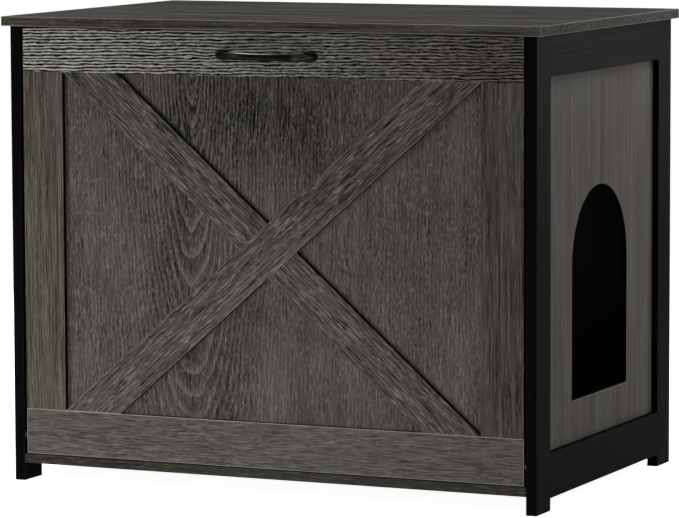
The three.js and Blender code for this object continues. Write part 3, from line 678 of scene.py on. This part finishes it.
def plain_sawn(tree, straight, grain, light):
    """The rings of a trunk that leans through the board, with its heart a little behind the face.
    The rings grow fainter away from the heart, and one broad area of the board is darker."""
    trunk = wire(tree, "Mapping", {
        "Vector": grain, "Rotation": (0.0, 0.0, HEART_LEAN), "Location": (0.0, HEART_DEPTH, 0.0)})
    rings = wire(tree, "TexWave", {
        "Vector": trunk, "Scale": wave_scale(RING_PITCH), "Distortion": 7.0, "Detail": 3.0,
        "Detail Scale": 0.15, "Detail Roughness": 0.6,
    }, wave_type="RINGS", rings_direction="X", wave_profile="SAW")
    across = wire(tree, "VectorMath", {0: trunk, 1: (0.0, 1.0, 1.0)}, operation="MULTIPLY")
    from_heart = wire(tree, "VectorMath", {0: across}, output="Value", operation="LENGTH")
    place = wire(tree, "TexCoord", {}, output="Object")
    apart = wire(tree, "VectorMath", {0: place, 1: DARK_PLACE}, operation="SUBTRACT")
    in_reaches = wire(tree, "VectorMath", {0: apart, 1: DARK_REACH}, operation="DIVIDE")
    from_dark = wire(tree, "VectorMath", {0: in_reaches}, output="Value", operation="LENGTH")
    return [
        (stretched(tree, rings, 0.5, 1.0),
         stretched(tree, from_heart, 0.03, 0.16, RING_WEIGHT, 0.3 * RING_WEIGHT)),
        (stretched(tree, from_dark, 0.2, 1.2, 0.0, 0.5), DARK_WEIGHT),
    ], light


dress(["door_panel"], oak("charcoal_oak_panel", UPRIGHT, srgb(18, 18, 14), srgb(106, 101, 97),
                          middle=(-0.115, inlay_low[Y], 0.5), fibres=(0.03, 0.0020, 0.35),
                          flecks=(0.007, 0.0011, 0.4), pattern=plain_sawn, glints=0.15))

# ---------------------------------------------------------------- X brace
# The brace is glued on the panel. One slat runs whole from the lower left to the upper right,
# and two shorter ones butt against it. Their ends are cut level, to meet the rails.


def brace(name, outline, front, back, arris):
    """A flat slat: its outline in the plane of the door, carried from back to front.

    Each point moves inwards along its mitre, by a distance that grows with the versine of an
    angle while the outline comes forward with the sine, which rounds the front arris.
    """
    onward = np.roll(outline, -1, axis=0) - outline
    normal = np.stack([onward[:, 1], -onward[:, 0]], axis=-1)
    normal /= np.linalg.norm(normal, axis=1, keepdims=True)
    before = np.roll(normal, 1, axis=0)
    mitre = (normal + before) / (1 + np.sum(normal * before, axis=1, keepdims=True))
    rings, marks = [], []
    rounding = [(arris * (1 - np.cos(turn)), front + arris * (1 - np.sin(turn)), np.sin(2 * turn))
                for turn in ARC]
    for inset, depth, mark in [(0.0, back, 0.0)] + rounding:
        flat = outline - inset * mitre
        rings.append(np.stack([flat[:, 0], np.full(len(flat), depth), flat[:, 1]], axis=-1))
        marks.append(np.full(len(flat), mark))
    return skin(name, np.array(rings), np.array(marks))


def level_cut(span, height, width):
    """How long a level cut is across a slat of that width that fills an opening corner to corner:
    the root w of w * height = width * length of the slat's edge."""
    square = width ** 2
    root = np.sqrt(square ** 2 * span ** 2 + (height ** 2 - square) * square * (span ** 2 + height ** 2))
    return (root - square * span) / (height ** 2 - square)


SLAT_WIDTH = 0.0545
JOINT_GAP = 0.0003
long_low, long_high = corners("brace_long")
span, height = long_high[X] - long_low[X], long_high[Z] - long_low[Z]
cut = level_cut(span, height, SLAT_WIDTH)
rise = np.arctan2(height, span - cut)
up_slope = np.array([span - cut, height]) / np.hypot(span - cut, height)
down_slope = up_slope * [1, -1]
centre = np.array([(long_low[X] + long_high[X]) / 2, (long_low[Z] + long_high[Z]) / 2])
along_side = (SLAT_WIDTH / 2 + JOINT_GAP) / np.sin(2 * rise)
across_half = SLAT_WIDTH / 2 / np.sin(2 * rise)

long_outline = np.array([
    [long_low[X], long_low[Z]], [long_low[X] + cut, long_low[Z]],
    [long_high[X], long_high[Z]], [long_high[X] - cut, long_high[Z]]])
upper_outline = np.array([
    [long_low[X], long_high[Z]],
    centre - down_slope * along_side - up_slope * across_half,
    centre - down_slope * along_side + up_slope * across_half,
    [long_low[X] + cut, long_high[Z]]])
lower_outline = 2 * centre - upper_outline
SLAT_TONES = srgb(8, 8, 6), srgb(98, 94, 90)
rising_oak = oak("charcoal_oak_rising", (0.0, rise, 0.0), *SLAT_TONES, fibres=(0.04, 0.0012, 0.9),
                 flecks=(0.012, 0.0012, 0.35), glints=0.25, arris_highlight_share=0.35)
falling_oak = oak("charcoal_oak_falling", (0.0, -rise, 0.0), *SLAT_TONES, fibres=(0.04, 0.0012, 0.95),
                  flecks=(0.012, 0.0012, 0.35), glints=0.25)
# The slats' edges are black: painted shade.
for name, outline, slat_oak in (("brace_long", long_outline, rising_oak),
                                ("brace_upper_left", upper_outline, falling_oak),
                                ("brace_lower_right", lower_outline, falling_oak)):
    low, high = corners(name)
    slat = brace(f"{name}_board", outline, low[Y], high[Y], ARRIS)
    hand_over(slat, slat_oak, "door", "door_laminate", name, elsewhere=black_lip_and_shade)

# ---------------------------------------------------------------- pivot pins
# Two steel pins are driven into the ends of the door's bottom rail and turn in the bushes. The
# door drops forward on them.

dress(["left_pivot_pin", "right_pivot_pin"], steel)

# ---------------------------------------------------------------- handle
# A bow pull cast in zinc and coated black. Its coat reflects more along the top of its bar, a painted
# highlight, and a little on its right leg, a painted reflection. The bar leaves the door square to its
# face, from two flared feet with a narrow straight rim, and two screws from behind the door hold it.

FOOT_HALF = np.array([0.0115, 0.007])
BAR_HALF = np.array([0.0035, 0.005])
FOOT_RIM = 0.00125
RIM_ROUND = 0.0004
SHOULDER = 0.0006
ARCH_FULLNESS = 0.8
FLARE_SHARPNESS = 2.6
handle_low, handle_high = corners("handle")
handle_z = (handle_low[Z] + handle_high[Z]) / 2
door_face = handle_high[Y]
arch_half_span = handle_high[X] - FOOT_HALF[0]
arch_rise = door_face - handle_low[Y] - FOOT_RIM - BAR_HALF[0]


def casting_rings():
    """An ellipse carried along an arch from foot to foot.

    The arch's two coordinates are a power of the cosine and of the sine of an angle, which makes
    a fuller ellipse that is square to the door at both ends. Each section lies along the arch's
    normal, and it grows from the bar's size to the foot's with a power of how near the door it is.
    The foot's rim comes first: the foot's ellipse, rounded at its front arris by the versine and
    the sine of an angle.
    """
    angle = np.linspace(0, np.pi, 161)
    side, out = -np.sign(np.cos(angle)), np.sin(angle).clip(0)
    along = side * np.abs(np.cos(angle)) ** ARCH_FULLNESS
    away = out ** ARCH_FULLNESS
    power = 2 - ARCH_FULLNESS
    normal = np.stack([side * np.abs(np.cos(angle)) ** power / arch_half_span,
                       out ** power / arch_rise], axis=-1)
    normal /= np.linalg.norm(normal, axis=1, keepdims=True)
    swell = (1 - away[:, None]) ** FLARE_SHARPNESS
    half = BAR_HALF + (FOOT_HALF - SHOULDER - BAR_HALF) * swell
    middle = np.stack([arch_half_span * along, FOOT_RIM + arch_rise * away], axis=-1)

    rim_lift = np.concatenate([[0.0], FOOT_RIM - RIM_ROUND * (1 - np.sin(ARC))])
    rim_half = FOOT_HALF - RIM_ROUND * np.concatenate([[0.0], 1 - np.cos(ARC)])[:, None]
    rim_middle = np.stack([np.full_like(rim_lift, -arch_half_span), rim_lift], axis=-1)
    rim_normal = np.tile([-1.0, 0.0], (len(rim_lift), 1))
    mirrored = np.array([-1.0, 1.0])
    middle = np.concatenate([rim_middle, middle, rim_middle[::-1] * mirrored])
    normal = np.concatenate([rim_normal, normal, rim_normal[::-1] * mirrored])
    half = np.concatenate([rim_half, half, rim_half[::-1]])

    round_angle = np.linspace(0, 2 * np.pi, 48, endpoint=False)
    outwards = half[:, :1] * np.cos(round_angle)
    return np.stack([middle[:, :1] + normal[:, :1] * outwards,
                     door_face - middle[:, 1:] - normal[:, 1:] * outwards,
                     handle_z + half[:, 1:] * np.sin(round_angle)], axis=-1)


handle = skin("handle_casting", casting_rings())

HIGHLIGHT_BAND = (0.0031, 0.0044)
BAR_ENDS = (0.046, 0.055)
RIGHT_LEG = (0.045, 0.05)
coated_black, coat_tree, coat_shader = new_material("handle_black")
coat_place = grain_space(coat_tree, LEVEL)
orange_peel = streaks(coat_tree, coat_place, length=0.0012, width=0.0012)
rub_marks = stretched(coat_tree, streaks(coat_tree, coat_place, length=0.02, width=0.004), 0.35, 0.65)
coat_tree.links.new(between(coat_tree, rub_marks, srgb(2, 2, 2), srgb(6, 6, 6)),
                    coat_shader.inputs["Base Color"])
coat_tree.links.new(stretched(coat_tree, rub_marks, 0.0, 1.0, 0.16, 0.22), coat_shader.inputs["Roughness"])
raised(coat_tree, coat_shader, orange_peel, 0.00002)

# A painted highlight: the coat reflects more on the upper part of the bar, and more to the left.
# The right leg has a little of it, as a painted reflection.
coat_x = wire(coat_tree, "SeparateXYZ", {0: coat_place}, output="X")
coat_z = wire(coat_tree, "SeparateXYZ", {0: coat_place}, output="Z")
on_top = stretched(coat_tree, coat_z, handle_z + HIGHLIGHT_BAND[0], handle_z + HIGHLIGHT_BAND[1], 0.0, 0.75)
on_bar = stretched(coat_tree, wire(coat_tree, "Math", {0: coat_x}, operation="ABSOLUTE"),
                   *BAR_ENDS, 1.0, 0.0)
painted_highlight = wire(coat_tree, "Math", {0: on_top, 1: on_bar}, operation="MULTIPLY")
leftward = stretched(coat_tree, coat_x, 0.06, -0.04, 0.45, 1.0)
on_leg = stretched(coat_tree, coat_x, *RIGHT_LEG, 0.04, 0.2)
shine = wire(coat_tree, "Math", {0: painted_highlight, 1: leftward, 2: on_leg}, operation="MULTIPLY_ADD")
coat_tree.links.new(shine, coat_shader.inputs["Specular IOR Level"])
hand_over(handle, coated_black, "door", "handle_black", "handle")

SCREW_HEAD = 0.004
HEAD_HEIGHT = 0.002
HEAD_CROSS = (0.002, 0.0009, 0.0011)
SHANK_RADIUS = 0.0019
SHANK_POINT = 0.001
for side in SIDES:
    low, high = corners(f"{side}_handle_screw")
    seat = (low + high) / 2
    seat[Y] = high[Y] - HEAD_HEIGHT
    shank = seat[Y] - low[Y]
    dome = [(SCREW_HEAD * np.cos(turn) ** 0.7, HEAD_HEIGHT * (0.25 + 0.75 * np.sin(turn)))
            for turn in np.linspace(0, np.radians(62), 6)]
    screw = turned_piece(f"{side}_handle_screw_turned", [
        (0.0, -shank), (SHANK_POINT, -shank), (SHANK_RADIUS, -shank + SHANK_POINT), (SHANK_RADIUS, 0.0),
        (SCREW_HEAD, 0.0), *dome,
    ], seat, (0, 1, 0), recess=HEAD_CROSS)
    hand_over(screw, steel, "door", "fitting_steel", f"{side}_handle_screw")

# ---------------------------------------------------------------- strike plates
# Two dished steel discs behind the door's top rail meet the magnets when the door is shut. Each
# is held by one countersunk screw.

DISH_EDGE = 0.0036
DISH_FLOOR = 0.0034
STRIKE_CROSS = (0.0018, 0.0008, 0.001)
for side in SIDES:
    low, high = corners(f"{side}_strike_plate")
    seat = (low + high) / 2
    seat[Y] = low[Y]
    radius, thickness = (high[X] - low[X]) / 2, high[Y] - low[Y]
    plate = turned_piece(f"{side}_strike_plate_turned", [
        (0.0, 0.0), (radius, 0.0), (radius, thickness * 0.6), (radius - thickness * 0.4, thickness),
        (DISH_EDGE, thickness), (DISH_FLOOR, thickness * 0.6), (0.0, thickness * 0.6),
    ], seat, (0, 1, 0))
    hand_over(plate, steel, "door", "fitting_steel", f"{side}_strike_plate")
    low, high = corners(f"{side}_strike_screw")
    seat[Y] = high[Y]
    length = high[Y] - low[Y]
    screw = turned_piece(f"{side}_strike_screw_turned", [
        (0.0, -length), (SHANK_RADIUS, -length + 0.0016), (SHANK_RADIUS, -0.0012), (0.0031, -0.0002),
        (0.0029, 0.0), (0.0024, 0.0),
    ], seat, (0, 1, 0), recess=STRIKE_CROSS)
    hand_over(screw, steel, "door", "fitting_steel", f"{side}_strike_screw")

# ---------------------------------------------------------------- studio
# The cabinet stands on a white floor that runs on into a white surround. Two lamps at the front
# left and three strips light the door, one lamp the handle, two the right side and one the back.


def seen_share(tree):
    """One for a ray from the camera or one that metal or glass sends on, else nought."""
    path = tree.nodes.new("ShaderNodeLightPath").outputs
    sent_on = wire(tree, "Math", {0: path["Is Glossy Ray"], 1: path["Is Transmission Ray"]},
                   operation="MAXIMUM")
    return wire(tree, "Math", {0: sent_on, 1: path["Is Camera Ray"]}, operation="MAXIMUM")


WHITE = (1, 1, 1, 1)
SURROUND = 0.08
world = bpy.data.worlds.new("white_surround")
bpy.context.scene.world = world
world.use_nodes = True
world_tree = world.node_tree
background = world_tree.nodes["Background"]
background.inputs["Color"].default_value = WHITE
world_tree.links.new(stretched(world_tree, seen_share(world_tree), 0.0, 1.0, SURROUND, 1.0),
                     background.inputs["Strength"])

FLOOR_REACH = 12.0
FLOOR_GREY = (0.8, 0.8, 0.8, 1)
FLOOR_GLOW = 0.935
floor_mesh = bpy.data.meshes.new("floor")
floor_corners = np.array([[-1, -1, 0], [1, -1, 0], [1, 1, 0], [-1, 1, 0]]) * FLOOR_REACH
floor_mesh.from_pydata(floor_corners.tolist(), [], [[0, 1, 2, 3]])
floor = bpy.data.objects.new("floor", floor_mesh)
bpy.context.scene.collection.objects.link(floor)
floor_material, floor_tree, floor_shader = new_material("white_floor")
floor_tree.nodes.remove(floor_shader)
diffuse = wire(floor_tree, "BsdfDiffuse", {"Color": FLOOR_GREY})
seen_glow = stretched(floor_tree, seen_share(floor_tree), 0.0, 1.0, 0.0, FLOOR_GLOW)
glow = wire(floor_tree, "Emission", {"Strength": seen_glow})
total = wire(floor_tree, "AddShader", {0: diffuse, 1: glow})
floor_tree.links.new(total, floor_tree.nodes["Material Output"].inputs["Surface"])
floor_mesh.materials.append(floor_material)


def lamp(name, place, aim, size, watts):
    """A soft lamp of that width and height, which stands at a place and faces a point."""
    data = bpy.data.lights.new(name, "AREA")
    data.shape = "RECTANGLE"
    data.size, data.size_y = size
    data.energy = watts
    made = bpy.data.objects.new(name, data)
    made.location = place
    made.rotation_euler = (Vector(place) - Vector(aim)).to_track_quat("Z", "Y").to_euler()
    made.visible_camera = False
    bpy.context.scene.collection.objects.link(made)


lamp("key_lamp", (-1.75, -1.9, 1.05), (0.0, -0.25, 0.3), (0.4, 0.4), 13.0)
lamp("low_key_lamp", (-1.75, -1.9, 0.15), (0.0, -0.25, 0.3), (0.4, 0.4), 12.5)
lamp("front_strip", (-0.38, -0.87, 0.05), (-0.05, -0.25, 0.0), (0.5, 0.1), 1.9)
lamp("right_strip", (0.22, -0.87, 0.05), (0.32, -0.25, 0.0), (0.4, 0.1), 0.9)
lamp("high_strip", (-0.6, -0.45, 1.7), (0.0, -0.27, 0.6), (0.9, 0.12), 7.0)
lamp("handle_lamp", (1.5, -0.95, 0.5), (0.06, -0.25, 0.59), (0.4, 0.4), 1.6)
lamp("side_lamp", (1.05, 0.25, 1.6), (0.39, 0.0, 0.5), (0.8, 0.8), 9.0)
lamp("rear_side_lamp", (0.95, 1.0, 0.6), (0.38, 0.0, 0.5), (0.5, 0.4), 4.8)
lamp("rear_lamp", (-1.5, 1.4, 0.9), (-0.2, 0.1, 0.3), (1.0, 1.0), 30.0)

VIEW_DOWN = 6.1286
VIEW_TURN = 24.5158
VIEW_ROLL = -0.2214
camera_data = bpy.data.cameras.new("camera")
camera_data.sensor_width = 36.0
camera_data.lens = 220.44
camera_data.clip_end = 60.0
camera = bpy.data.objects.new("camera", camera_data)
camera.location = (2.37063, -5.20819, 0.91170)
turn_round = Euler((np.radians(90 - VIEW_DOWN), 0.0, np.radians(VIEW_TURN)), "XYZ").to_matrix()
lean_over = Matrix.Rotation(np.radians(VIEW_ROLL), 3, "Z")
camera.rotation_euler = (turn_round @ lean_over).to_euler("XYZ")
bpy.context.scene.collection.objects.link(camera)
bpy.context.scene.camera = camera
bpy.context.scene.view_settings.view_transform = "Standard"
